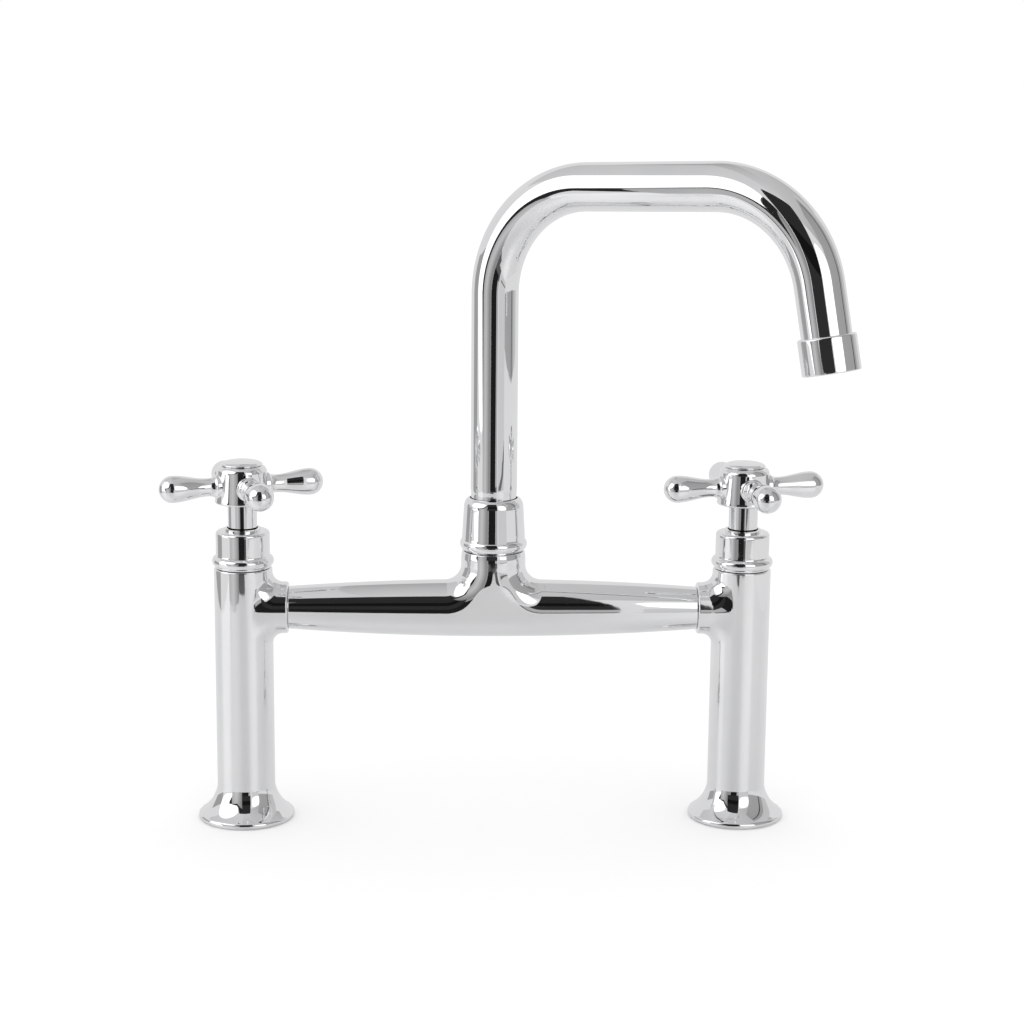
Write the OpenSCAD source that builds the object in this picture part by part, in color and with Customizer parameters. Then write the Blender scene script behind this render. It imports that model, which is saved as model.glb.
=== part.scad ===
// Two-hole bridge mixer on pillar legs, with a swivelling square-bend spout.
// Origin: midway between the two pillar axes, on the deck. +Z is up, the user stands at -Y.
// The hot pillar stands at -X and the cold pillar at +X.

/* [Layout] */
// Distance between the two pillar axes
hole_centres = 200; // [180:1:240]
// Height of the pillar tops above the deck
pillar_h = 104; // [98:0.5:125]
// Depth of the bridge axis below the pillar tops
bridge_drop = 16.6; // [15:0.2:18]
// Angle from +X to the spout at rest, turned towards the user
spout_angle = 35; // [0:1:80]
// Turn of the hot handle at rest
hot_handle_angle = 19.8; // [0:0.1:45]
// Turn of the cold handle at rest
cold_handle_angle = 11.6; // [0:0.1:45]

/* [Pillar] */
// Outside diameter of a pillar
pillar_d = 23.3; // [23:0.1:26]
// Diameter of the waterway in the lower pillar
waterway_d = 16; // [12:0.5:17]
// Minor diameter of the inlet thread
inlet_d = 18.6; // [17:0.1:19]
// Depth of the inlet thread
inlet_l = 16; // [14:0.5:24]
// Rounding of a pillar's top edge
pillar_edge = 0.5; // [0.2:0.1:0.8]
// Diameter of the side boss that holds the bridge
boss_d = 20.8; // [19:0.1:22]
// Distance from a pillar axis to its boss face
boss_reach = 18; // [17:0.5:24]
// Rounding of the boss face
boss_edge = 1; // [0.4:0.1:1.5]
// Growth of the boss radius where it flows into the pillar
boss_flare = 1.1; // [0.4:0.1:1.2]

/* [Foot] */
// Diameter of a foot
foot_d = 38.6; // [36:0.2:46]
// Height of a foot
foot_h = 13.5; // [13:0.5:18]
// Wall of the pillar spigot inside a foot
foot_spigot_wall = 1.6; // [1.2:0.1:2]
// Radius of the hollow sweep of a foot
foot_sweep = 7.5; // [6.5:0.1:8.5]
// Radius of the rounded rim of a foot
foot_round = 2.2; // [1.8:0.1:2.4]
// Chamfer under the rim
foot_chamfer = 0.4; // [0.2:0.1:0.8]
// Width of the seal under a foot
seal_w = 3; // [2:0.1:3.6]
// Height of the seal under a foot
seal_h = 2; // [1.5:0.1:2.5]

/* [Valve] */
// Length of the valve below the pillar top
valve_l = 24; // [23:0.5:26]
// Diameter of the valve's thread
valve_thread_d = 18.7; // [18:0.1:19]
// Length of the valve's thread
valve_thread_l = 6; // [4:0.5:7]
// Diameter of the valve body below its thread
valve_d = 17.2; // [16.6:0.1:17.4]
// Diameter of the chamber that holds the discs
disc_chamber_d = 14.6; // [13.5:0.1:15]
// Thickness of a ceramic disc
disc_t = 3; // [2.5:0.1:3.4]
// Thickness of the seal under the discs
seat_seal_t = 2; // [1.5:0.1:2.4]
// Bore of the valve seat and of the seal on it
seat_d = 11; // [9:0.5:11.4]
// Thickness of the spindle's driving flange
spindle_flange_t = 3; // [2:0.1:3.4]
// Thickness of the slip washer above the flange
slip_washer_t = 2; // [1:0.1:2.2]
// Size across the flats of the valve's hexagon
hex_af = 16; // [15:0.5:16.4]
// Height of the valve's hexagon
hex_h = 6.5; // [4:0.5:7]
// Diameter of the threaded neck that carries the bonnet
valve_neck_d = 15; // [13:0.2:15.4]
// Diameter of the spindle
spindle_d = 8; // [7:0.1:9]
// Depth to which the spindle's O-ring is let in
spindle_groove = 1; // [0.6:0.1:1.4]

/* [Bonnet] */
// Height of the bonnet's shoulder above the pillar top
bonnet_h = 15; // [14.6:0.2:18]
// Diameter of the bonnet
bonnet_d = 21.5; // [21.5:0.1:23]
// Diameter of the bonnet's bead
bead_d = 24.6; // [24:0.1:26]
// Height of the bonnet's bead
bead_h = 4.4; // [4:0.1:5]
// Wall of the bonnet round the hexagon
bonnet_wall = 1.05; // [0.8:0.05:1.1]
// Rounding of the bonnet's shoulder
bonnet_round = 1.4; // [0.8:0.1:2]
// Width of the raised collar on the bonnet
collar_w = 0.95; // [0.6:0.05:1.4]
// Height of the raised collar
collar_h = 1.1; // [0.6:0.1:1.4]
// Gap that shows between the bonnet and the pillar
seam = 0.25; // [0.15:0.05:0.3]

/* [Handle] */
// Outside diameter of the stem sleeve
sleeve_d = 11.6; // [11:0.1:12.4]
// Height of the hub above the bonnet's shoulder
hub_lift = 11.2; // [9:0.2:14]
// Height of the hub
hub_h = 15.1; // [14.6:0.1:18]
// Diameter of the hub at the arms
hub_d = 20; // [19.4:0.1:22]
// Diameter of the hub's flared foot
hub_foot_d = 21.6; // [21:0.1:24]
// Radius of the hub's shoulder
hub_round = 2.6; // [2:0.1:3]
// Radius from the axis to the end of an arm
arm_reach = 33.3; // [31:0.1:40]
// Height of the arms above the hub's foot
arm_lift = 6.9; // [6:0.1:8]
// Diameter of an arm's rounded end
arm_ball_d = 10.8; // [9:0.1:12]
// Diameter of an arm's waist
arm_waist_d = 7.2; // [6:0.1:8]
// Diameter of the ring where an arm leaves the hub
arm_ring_d = 9.6; // [8.4:0.1:11]
// Diameter of the index cap
cap_d = 16.6; // [15.6:0.1:17]
// Height of the index cap above the hub
cap_h = 1.8; // [1.2:0.1:2.4]
// Thread diameter of the handle screw
screw_d = 4; // [3:0.5:5]
// Depth of the sleeve in the hub
sleeve_seat = 2; // [1.5:0.1:3]

/* [Bridge] */
// Diameter of the bridge at its middle
bridge_d = 23.1; // [22.4:0.1:24]
// Diameter of the bridge at its ends
bridge_end_d = 17.1; // [16.6:0.1:18]
// Bore of the bridge
bridge_bore = 9.2; // [7:0.2:10]
// Diameter of the spigots in the bosses
spigot_d = 14; // [13:0.1:14.6]
// Length of the spigots
spigot_l = 8.8; // [8.4:0.1:9.4]
// Diameter of the neck under the spout
neck_d = 25.8; // [25:0.1:27]
// Height of the neck's shoulder above the bridge axis
neck_h = 23.8; // [22:0.2:30]
// Growth of the neck radius where it flows into the bridge
neck_flare = 3; // [1:0.1:4]
// Diameter of the thread for the spout nut
nut_thread_d = 21.2; // [20.8:0.1:21.8]
// Length of that thread
nut_thread_l = 9.8; // [8:0.2:10.4]
// Bore that the spout tail turns in
tail_bore = 16.4; // [15:0.1:17]
// Depth of that bore
tail_depth = 26; // [23:0.5:27]
// Diameter of the grub screws that lock the bridge
grub_d = 4; // [3:0.5:4]

/* [Spout] */
// Outside diameter of the spout tube
tube_d = 18.5; // [18:0.1:19]
// Wall of the spout tube
tube_wall = 1.25; // [1:0.05:1.6]
// Height of the arm's start above the neck's shoulder
spout_rise = 145.3; // [110:1:200]
// Centreline radius of the first bend
bend_a_r = 43; // [30:0.5:55]
// Angle of the first bend
bend_a = 88; // [80:0.5:95]
// Length of the straight arm
arm_l = 55.5; // [30:0.5:90]
// Centreline radius of the second bend
bend_b_r = 41.5; // [30:0.5:50]
// Angle of the second bend
bend_b = 81; // [70:0.5:95]
// Straight length of the tube after the second bend
leg_l = 23.5; // [20:0.5:40]
// Height of the spout nut
nut_h = 21.4; // [20.4:0.1:26]
// Diameter of the nut's top
nut_top_d = 23.2; // [22.8:0.1:24.4]
// Diameter of the nut above its bead
nut_low_d = 25.2; // [24.8:0.1:26]
// Diameter of the nut's bead
nut_bead_d = 26.8; // [26.4:0.1:28]
// Height of the nut's bead
nut_bead_h = 4; // [3:0.1:5]
// Thickness of the tail's flange
flange_t = 2; // [1.6:0.1:2.4]
// Thickness of the two swivel washers
washer_t = 0.6; // [0.4:0.1:0.8]
// Length of the tail inside the tube
tail_insert = 11; // [8:0.5:16]
// Bore of the tail
tail_hole = 12.4; // [10:0.2:13]
// Depth to which the tail's O-rings are let in
tail_groove = 1.3; // [0.9:0.1:1.5]

/* [Outlet] */
// Diameter of the aerator shell
shell_d = 21.5; // [21:0.1:24]
// Length of the aerator shell
shell_l = 13.4; // [13:0.1:18]
// Length of the shell over the tube
shell_grip = 5.4; // [4:0.1:6.6]
// Width of the bevel on top of the shell
shell_bevel = 0.9; // [0.4:0.1:1.2]
// Diameter of the shell's mouth
mouth_d = 15.8; // [14:0.1:16.4]
// Thickness of the shell's lip
lip_t = 0.9; // [0.6:0.1:1.4]
// Diameter of the aerator insert
insert_d = 18; // [17:0.1:18.2]
// Thickness of the aerator washer
aerator_washer_t = 1.5; // [1:0.1:2]
// Thickness of the mesh at the mouth
mesh_t = 0.6; // [0.4:0.1:0.8]
// Diameter of the holes in the insert
insert_hole = 1.8; // [1.2:0.1:2.2]
// Pitch of the holes in the insert
insert_pitch = 2.9; // [2.6:0.1:3.2]

/* [Hidden] */
$fn = 64;

// Clearances: threads and pressed seats, running fits, and the O-rings' running side
fit = 0.05;
running = 0.07;
ring_gap = 0.04;
sleeve_gap = 0.35;
nut_gap = 0.25;
over = 1;

// Heights that stack up from the deck
bridge_z = pillar_h - bridge_drop;
seat_z = pillar_h - valve_l;
fixed_disc_z = seat_z + seat_seal_t;
moving_disc_z = fixed_disc_z + disc_t;
flange_z = moving_disc_z + disc_t;
slip_z = flange_z + spindle_flange_t;
chamber_top = slip_z + slip_washer_t;
bonnet_top = pillar_h + bonnet_h;
hub_z = bonnet_top + hub_lift;
arm_z = hub_z + arm_lift;
hub_top = hub_z + hub_h;
neck_z = bridge_z + neck_h;
thread_top = neck_z + nut_thread_l;
tail_z = neck_z + nut_thread_l - tail_depth;
tail_flange_z = thread_top + washer_t;
tube_z = tail_flange_z + flange_t;
nut_shoulder_z = tube_z + washer_t;
nut_top = neck_z + nut_h;

// Radii shared by pieces that fit together
seal_inset = 2.2;
washer_inset = 0.2;
pillar_r = pillar_d / 2;
spigot_foot_r = inlet_d / 2 + foot_spigot_wall;
seal_r = spigot_foot_r + seal_inset;
valve_bore_r = valve_thread_d / 2 + fit;
spindle_r = spindle_d / 2;
ring_w = 2;
boss_face_x = hole_centres / 2 - boss_reach;
nut_hole_r = tube_d / 2 + nut_gap;
tube_bore_r = tube_d / 2 - tube_wall;
tail_r = tail_bore / 2 - running;
washer_r = nut_thread_d / 2 - washer_inset;

// The disc's key, under the spindle's flange
key_w = 3;
key_l = 7;
key_h = 1;
key_y = 2.6;

// The spindle: its O-ring, and the room above it for the web, the screw head and the cap
ring_lift = 4;
ring_z = pillar_h + ring_lift;
cap_room = 4.3;
handle_web = 1.2;
cap_skirt_r = 7.3;
spindle_top = hub_top - cap_room;

// The bridge's spigots: O-rings near their roots and grub screws nearer their ends
ring_inset = 2.6;
grub_inset = 2.6;
spigot_groove = 1.3;
grub_bite = 0.8;
grub_l = 3.4;
ring_x = boss_face_x + ring_inset;
grub_x = boss_reach - spigot_l + grub_inset;
grub_tip_y = spigot_d / 2 - grub_bite;

// The barrelled bridge is a circular arc between its end and middle diameters
bridge_sag = (bridge_d - bridge_end_d) / 2;
barrel_r = (pow(boss_face_x, 2) + pow(bridge_sag, 2)) / (2 * bridge_sag);

// The tail's two O-rings
tail_ring_z = [tail_z + 5, tail_z + 11];

// The tube's wall is drawn thinner in the bends, which the straights lap over
bend_thin = 0.02;
bend_lap = 0.5;

// Points of an arc round c from angle a0 to a1
function arc(c, r, a0, a1, n = 8) =
    [for (i = [0:n]) c + r * [cos(a0 + (a1 - a0) * i / n), sin(a0 + (a1 - a0) * i / n)]];

// Everything of one pillar stands on its own axis; side is -1 for hot and 1 for cold
module on_pillar(side) {
    translate([side * hole_centres / 2, 0, 0])
        children();
}

module on_handle(side) {
    on_pillar(side)
        rotate([0, 0, side < 0 ? hot_handle_angle : cold_handle_angle])
            children();
}

module ring(r_in, r_out, z, h) {
    translate([0, 0, z])
        difference() {
            cylinder(r = r_out, h = h);
            translate([0, 0, -over])
                cylinder(r = r_in, h = h + 2 * over);
        }
}

// Bell-shaped foot that screws on the end of the pillar and covers the deck hole
module foot(side) {
    rim_r = foot_d / 2;
    sweep_end = 250;
    sweep_c = [pillar_r + foot_sweep, foot_h - foot_chamfer];
    sweep_tip = sweep_c + foot_sweep * [cos(sweep_end), sin(sweep_end)];
    rim_c = [rim_r - foot_round, foot_round];
    color("gainsboro")
        on_pillar(side)
            difference() {
                rotate_extrude()
                    polygon(concat(
                        [[0, 0], [rim_r - foot_chamfer, 0]],
                        arc(rim_c, foot_round, 0, 70, 6),
                        arc(sweep_c, foot_sweep, sweep_end, 180, 10),
                        [[pillar_r, foot_h], [0, foot_h]]
                    ));
                translate([0, 0, -over])
                    cylinder(r = spigot_foot_r + fit, h = foot_h + 2 * over);
                ring(seal_r, seal_r + seal_w, -over, seal_h + over);
            }
}

module foot_seal(side) {
    color("dimgray")
        on_pillar(side)
            ring(seal_r, seal_r + seal_w, 0, seal_h);
}

// Pillar with its waterway, valve seat and the side boss for the bridge
module pillar(side) {
    inward = side < 0 ? 90 : -90;
    spigot_step = 0.5;
    seat_plate = 3;
    end_gap = 0.2;
    flare_r = boss_d / 2 + boss_flare;
    flare_x = pillar_r + boss_flare;
    boss_bore_l = spigot_l + end_gap;
    edge_c = [pillar_r - pillar_edge, pillar_h - pillar_edge];
    boss_c = [boss_d / 2 - boss_edge, boss_reach - boss_edge];
    color("silver")
        on_pillar(side)
            difference() {
                union() {
                    translate([0, 0, spigot_step])
                        cylinder(r = spigot_foot_r, h = pillar_h / 2);
                    rotate_extrude()
                        polygon(concat(
                            [[0, foot_h], [pillar_r, foot_h]],
                            arc(edge_c, pillar_edge, 0, 90, 4),
                            [[0, pillar_h]]
                        ));
                    translate([0, 0, bridge_z])
                        rotate([0, inward, 0])
                            rotate_extrude()
                                polygon(concat(
                                    [[0, 0], [flare_r, 0]],
                                    arc([flare_r, flare_x], boss_flare, 270, 180, 6),
                                    arc(boss_c, boss_edge, 0, 90, 4),
                                    [[0, boss_reach]]
                                ));
                }
                translate([0, 0, -over])
                    cylinder(d = inlet_d, h = inlet_l + over);
                cylinder(d = waterway_d, h = seat_z - seat_plate);
                cylinder(d = seat_d, h = seat_z + over);
                translate([0, 0, seat_z])
                    cylinder(r = valve_bore_r, h = valve_l + over);
                translate([0, 0, bridge_z])
                    rotate([0, inward, 0]) {
                        cylinder(d = bridge_bore, h = boss_reach);
                        translate([0, 0, boss_reach - boss_bore_l])
                            cylinder(d = spigot_d + 2 * fit, h = boss_bore_l + over);
                    }
                translate([-side * grub_x, 0, bridge_z])
                    rotate([-90, 0, 0])
                        cylinder(d = grub_d + 2 * fit, h = boss_d);
            }
}

module seat_seal(side) {
    color("dimgray")
        on_pillar(side)
            ring(seat_d / 2, disc_chamber_d / 2 - fit, seat_z, seat_seal_t);
}

// Ceramic disc with a half-round water port, pressed in so that the ports are apart at rest
module fixed_disc(side) {
    color("white")
        on_handle(side)
            translate([0, 0, fixed_disc_z])
                difference() {
                    cylinder(d = disc_chamber_d - 2 * fit, h = disc_t);
                    disc_port();
                }
}

module disc_port() {
    port_r = seat_d / 2 - 1;
    land = 0.8;
    translate([0, 0, -over])
        intersection() {
            cylinder(r = port_r, h = disc_t + 2 * over);
            translate([-port_r, land, 0])
                cube([2 * port_r, port_r, disc_t + 2 * over]);
        }
}

// The turning disc has the same port and two slots for the spindle's keys
module moving_disc(side) {
    color("whitesmoke")
        on_handle(side)
            translate([0, 0, moving_disc_z])
                difference() {
                    cylinder(d = disc_chamber_d - 2 * running, h = disc_t);
                    rotate([0, 0, 180])
                        disc_port();
                    translate([0, key_y, disc_t - key_h])
                        disc_key(fit);
                }
}

module disc_key(gap) {
    translate([-key_l / 2 - gap, -key_w / 2 - gap, 0])
        cube([key_l + 2 * gap, key_w + 2 * gap, key_h + over]);
}

module slip_washer(side) {
    color("ivory")
        on_pillar(side)
            ring(spindle_r + running, disc_chamber_d / 2 - fit, slip_z, slip_washer_t);
}

// Brass valve body: disc chamber with two windows, thread, hexagon and bonnet neck
module valve_body(side) {
    seat_gap = 0.4;
    body_z = seat_z + seat_gap;
    window_w = 8;
    window_lift = 0.5;
    window_z = moving_disc_z + window_lift;
    window_h = chamber_top - window_z - 1;
    neck_l = bonnet_h - hex_h - 2;
    color("goldenrod")
        on_pillar(side)
            difference() {
                union() {
                    translate([0, 0, body_z])
                        cylinder(d = valve_d, h = valve_l);
                    translate([0, 0, pillar_h - valve_thread_l])
                        cylinder(d = valve_thread_d, h = valve_thread_l);
                    translate([0, 0, pillar_h])
                        cylinder(d = hex_af / cos(30), h = hex_h, $fn = 6);
                    translate([0, 0, pillar_h])
                        cylinder(d = valve_neck_d, h = hex_h + neck_l);
                }
                translate([0, 0, seat_z])
                    cylinder(d = disc_chamber_d, h = chamber_top - seat_z);
                translate([0, 0, seat_z])
                    cylinder(r = spindle_r + running + ring_gap, h = valve_l + bonnet_h);
                translate([-valve_d, -window_w / 2, window_z])
                    cube([2 * valve_d, window_w, window_h]);
            }
}

// Spindle: flange with a key for the disc, stem, O-ring groove and a tapped end
module spindle(side) {
    tap_l = 10;
    flange_r = disc_chamber_d / 2 - 2 * running;
    color("darkkhaki")
        on_handle(side)
            difference() {
                union() {
                    translate([0, 0, flange_z])
                        cylinder(r = flange_r, h = spindle_flange_t);
                    translate([0, 0, flange_z + fit])
                        cylinder(r = spindle_r, h = spindle_top - flange_z - fit);
                    translate([0, key_y, flange_z - key_h])
                        disc_key(0);
                }
                ring(spindle_r - spindle_groove, spindle_r + over, ring_z, ring_w);
                translate([0, 0, spindle_top - tap_l])
                    cylinder(d = screw_d + 2 * fit, h = tap_l + over);
            }
}

module spindle_ring(side) {
    color("dimgray")
        on_handle(side)
            ring(spindle_r - spindle_groove, spindle_r + running, ring_z, ring_w);
}

// Bonnet: beaded cover that screws on the valve's neck
module bonnet(side) {
    top_r = bonnet_d / 2;
    bead_r = bead_d / 2;
    bead_round = bead_h * 0.45;
    base_z = pillar_h + seam;
    base_in = [0.9, 0.3];
    base_up = 0.5;
    bead_top = base_z + bead_h;
    hole_r = sleeve_d / 2 + sleeve_gap;
    collar_r = hole_r + collar_w;
    plate = 1.6;
    hex_gap = 0.3;
    thread_z = pillar_h + hex_h + hex_gap;
    cove = (bead_r - top_r) / 2;
    shoulder_c = [top_r - bonnet_round, bonnet_top - bonnet_round];
    color("gainsboro")
        on_pillar(side)
            difference() {
                rotate_extrude()
                    polygon(concat(
                        [[0, base_z], [bead_r - base_in[0], base_z]],
                        [[bead_r - base_in[1], base_z + base_up]],
                        arc([bead_r - bead_round, bead_top - bead_round], bead_round, 0, 80, 6),
                        [[top_r, bead_top + cove]],
                        arc(shoulder_c, bonnet_round, 0, 90, 5),
                        [[collar_r, bonnet_top], [collar_r, bonnet_top + collar_h]],
                        [[0, bonnet_top + collar_h]]
                    ));
                translate([0, 0, pillar_h - over])
                    cylinder(r = top_r - bonnet_wall, h = hex_h + hex_gap + over);
                translate([0, 0, thread_z - over])
                    cylinder(d = valve_neck_d + 2 * fit, h = bonnet_top - plate - thread_z + over);
                translate([0, 0, pillar_h])
                    cylinder(r = hole_r, h = bonnet_h + collar_h + over);
            }
}

// Sleeve that covers the spindle between bonnet and hub; it turns with the handle
module stem_sleeve(side) {
    bottom = bonnet_top - over;
    color("gainsboro")
        on_handle(side)
            ring(spindle_r + fit, sleeve_d / 2, bottom, hub_z + sleeve_seat - bottom);
}

// Half-section of the hub: flared foot, waist at the arms, rounded shoulder
module hub_section() {
    foot_r = hub_foot_d / 2;
    foot_round = 0.7;
    foot_edge = 1;
    waist_r = hub_d / 2;
    cap_rim = 0.5;
    steps = 8;
    polygon(concat(
        [[0, hub_z], [foot_r - foot_round, hub_z]],
        arc([foot_r - foot_round, hub_z + foot_round], foot_round, -90, 20, 5),
        [for (i = [1:steps]) [
            waist_r + (foot_r - waist_r) * pow(1 - i / steps, 2),
            hub_z + foot_edge + (arm_lift - foot_edge) * i / steps
        ]],
        arc([waist_r - hub_round, hub_top - hub_round], hub_round, 0, 78, 7),
        [[cap_d / 2 + cap_rim, hub_top], [0, hub_top]]
    ));
}

// Half-section of an arm along its own axis: ring, waist, swell and round end
module arm_section() {
    ball_r = arm_ball_d / 2;
    waist_r = arm_waist_d / 2;
    ring_r = arm_ring_d / 2;
    ring_l = 0.7;
    neck_l = 3.2;
    ring_u = hub_d / 2 + ring_l;
    waist_u = ring_u + neck_l;
    ball_u = arm_reach - ball_r;
    steps = 12;
    neck_steps = 4;
    end_steps = 8;
    polygon(concat(
        [[0, hub_d / 4], [ring_r, hub_d / 4], [ring_r, ring_u]],
        [for (i = [1:neck_steps]) [
            ring_r - (ring_r - waist_r) * sin(90 * i / neck_steps),
            waist_u - neck_l * cos(90 * i / neck_steps)
        ]],
        [for (i = [1:steps]) [
            waist_r + (ball_r - waist_r) * (1 - cos(180 * i / steps)) / 2,
            waist_u + (ball_u - waist_u) * i / steps
        ]],
        arc([0, ball_u], ball_r, 90 / end_steps, 90, end_steps - 1)
    ));
}

// Cross head with four arms
module handle(side) {
    screw_gap = 0.2;
    color("silver")
        on_handle(side)
            difference() {
                union() {
                    rotate_extrude()
                        hub_section();
                    for (k = [0:3])
                        translate([0, 0, arm_z])
                            rotate([0, 90, 90 * k])
                                rotate_extrude()
                                    arm_section();
                }
                translate([0, 0, hub_z - over])
                    cylinder(d = sleeve_d + 2 * fit, h = sleeve_seat + over);
                translate([0, 0, hub_z])
                    cylinder(r = spindle_r + fit, h = spindle_top + fit - hub_z);
                translate([0, 0, hub_z])
                    cylinder(d = screw_d + 2 * screw_gap, h = hub_h + over);
                translate([0, 0, spindle_top + handle_web])
                    cylinder(r = cap_skirt_r + fit, h = hub_h);
            }
}

module handle_screw(side) {
    head_z = spindle_top + handle_web;
    head_r = screw_d * 0.85;
    head_h = screw_d * 0.45;
    shank_l = 9;
    slot_w = 1;
    slot_h = 0.8;
    color("lightslategray")
        on_handle(side)
            difference() {
                union() {
                    translate([0, 0, head_z])
                        cylinder(r = head_r, h = head_h);
                    translate([0, 0, head_z - shank_l])
                        cylinder(d = screw_d, h = shank_l + over / 2);
                }
                translate([-head_r, -slot_w / 2, head_z + head_h - slot_h])
                    cube([2 * head_r, slot_w, over]);
            }
}

// Snap-in index cap with a gently domed top
module index_cap(side) {
    cap_r = cap_d / 2;
    cap_edge = 0.5;
    skirt_l = 2.2;
    skirt_wall = 1.2;
    skirt_lap = 0.2;
    dome = 0.45;
    dome_r = (pow(cap_r - cap_edge, 2) + dome * dome) / (2 * dome);
    steps = 6;
    color("whitesmoke")
        on_handle(side)
            difference() {
                union() {
                    translate([0, 0, hub_top])
                        rotate_extrude()
                            polygon(concat(
                                [[0, 0], [cap_r, 0]],
                                arc([cap_r - cap_edge, cap_h - dome - cap_edge], cap_edge, 0, 80, 4),
                                [for (i = [1:steps]) let (x = (cap_r - cap_edge) * (1 - i / steps))
                                    [x, cap_h - dome_r + sqrt(dome_r * dome_r - x * x)]]
                            ));
                    translate([0, 0, hub_top - skirt_l])
                        cylinder(r = cap_skirt_r, h = skirt_l + skirt_lap);
                }
                translate([0, 0, hub_top - skirt_l - over])
                    cylinder(r = cap_skirt_r - skirt_wall, h = skirt_l + over);
            }
}

// Radius of the barrelled bridge at a distance x from its middle
function bridge_r(x) = bridge_d / 2 - barrel_r + sqrt(barrel_r * barrel_r - x * x);

// Bridge: one forging with the barrel, the neck and the two spigots
module bridge() {
    steps = 36;
    neck_r = neck_d / 2;
    neck_edge = 0.4;
    bulge_inset = 0.15;
    bulge_lift = neck_r - bridge_d / 2 + bulge_inset;
    flare_lift = 1.5;
    flare_inset = 0.6;
    flare_z = bridge_d / 2 + flare_lift;
    color("silver")
        difference() {
            union() {
                translate([0, 0, bridge_z])
                    rotate([0, 90, 0])
                        rotate_extrude()
                            polygon(concat(
                                [[0, -boss_face_x]],
                                [for (i = [0:steps]) let (x = boss_face_x * (2 * i / steps - 1))
                                    [bridge_r(x), x]],
                                [[0, boss_face_x]]
                            ));
                translate([-boss_face_x - spigot_l, 0, bridge_z])
                    rotate([0, 90, 0])
                        cylinder(d = spigot_d, h = 2 * (boss_face_x + spigot_l));
                translate([0, 0, bridge_z + bulge_lift])
                    sphere(r = neck_r);
                translate([0, 0, bridge_z])
                    rotate_extrude()
                        polygon(concat(
                            [[0, bulge_lift], [neck_r, bulge_lift], [neck_r, neck_h - neck_edge]],
                            [[neck_r - neck_edge, neck_h], [0, neck_h]]
                        ));
                intersection() {
                    translate([0, 0, bridge_z])
                        rotate_extrude()
                            polygon(concat(
                                [[0, 0], [neck_r + neck_flare, 0]],
                                arc([neck_r + neck_flare, flare_z + neck_flare], neck_flare, 270, 180, 6),
                                [[0, flare_z + neck_flare]]
                            ));
                    translate([0, 0, bridge_z])
                        rotate([0, 90, 0])
                            cylinder(r = bridge_d / 2 + neck_flare, h = neck_d * 2, center = true);
                    translate([-neck_d, flare_inset - bridge_d / 2, 0])
                        cube([2 * neck_d, bridge_d - 2 * flare_inset, neck_z]);
                }
                translate([0, 0, neck_z - over])
                    cylinder(d = nut_thread_d, h = nut_thread_l + over);
            }
            translate([-hole_centres, 0, bridge_z])
                rotate([0, 90, 0])
                    cylinder(d = bridge_bore, h = 2 * hole_centres);
            translate([0, 0, bridge_z])
                cylinder(d = bridge_bore, h = neck_h);
            translate([0, 0, tail_z])
                cylinder(d = tail_bore, h = tail_depth + over);
            for (s = [-1, 1]) {
                translate([s * ring_x, 0, bridge_z])
                    rotate([0, 90, 0])
                        ring(spigot_d / 2 - spigot_groove, spigot_d, -ring_w / 2, ring_w);
                translate([s * (hole_centres / 2 - grub_x), grub_tip_y, bridge_z])
                    rotate([-90, 0, 0])
                        cylinder(d = grub_d + 2 * fit, h = spigot_d);
            }
        }
}

module bridge_rings() {
    color("dimgray")
        for (s = [-1, 1])
            translate([s * ring_x, 0, bridge_z])
                rotate([0, 90, 0])
                    ring(spigot_d / 2 - spigot_groove, spigot_d / 2 + fit / 2, -ring_w / 2, ring_w);
}

// Grub screws through the backs of the bosses
module grub_screws() {
    socket_l = 1.5;
    color("slategray")
        for (s = [-1, 1])
            translate([s * (hole_centres / 2 - grub_x), grub_tip_y, bridge_z])
                rotate([-90, 0, 0])
                    difference() {
                        cylinder(d = grub_d, h = grub_l);
                        translate([0, 0, grub_l - socket_l])
                            cylinder(d = grub_d / 2, h = socket_l + over, $fn = 6);
                    }
}

module thrust_washer() {
    color("ivory")
        ring(tail_bore / 2 + running, washer_r, thread_top, washer_t);
}

module nut_washer() {
    color("ivory")
        ring(tube_d / 2 + running, washer_r, tube_z, washer_t);
}

// Nut that holds the swivelling tail down on the neck
module spout_nut() {
    bead_r = nut_bead_d / 2;
    bead_round = nut_bead_h * 0.48;
    bead_z = neck_z + nut_bead_h;
    base_z = neck_z + seam;
    base_in = [0.8, 0.2];
    base_up = 0.6;
    cove = 0.3;
    shoulder = 2;
    color("gainsboro")
        difference() {
            rotate_extrude()
                polygon(concat(
                    [[0, base_z], [bead_r - base_in[0], base_z], [bead_r - base_in[1], base_z + base_up]],
                    arc([bead_r - bead_round, bead_z - bead_round], bead_round, 0, 75, 5),
                    [[nut_low_d / 2, bead_z + cove]],
                    arc([nut_top_d / 2 - shoulder, nut_top - shoulder], shoulder, 4, 84, 7),
                    [[0, nut_top]]
                ));
            translate([0, 0, neck_z - over])
                cylinder(d = nut_thread_d + 2 * fit, h = nut_shoulder_z - neck_z + over);
            translate([0, 0, neck_z])
                cylinder(r = nut_hole_r, h = nut_h + over);
        }
}

// Cross-section of the spout tube, its wall thinner by thin on each side
module tube_section(thin) {
    difference() {
        circle(r = tube_d / 2 - thin);
        circle(r = tube_bore_r + thin);
    }
}

// Straight stretch of tube that laps over the bends at its ends
module tube_straight(l, lap_start, lap_end) {
    translate([0, 0, -lap_start])
        linear_extrude(l + lap_start + lap_end)
            tube_section(0);
}

// A bend that starts at the origin along +Z and turns towards +X
module tube_bend(r, angle) {
    translate([r, 0, 0])
        rotate([90, 0, 180])
            rotate_extrude(angle = angle)
                translate([r, 0])
                    tube_section(bend_thin);
}

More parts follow.
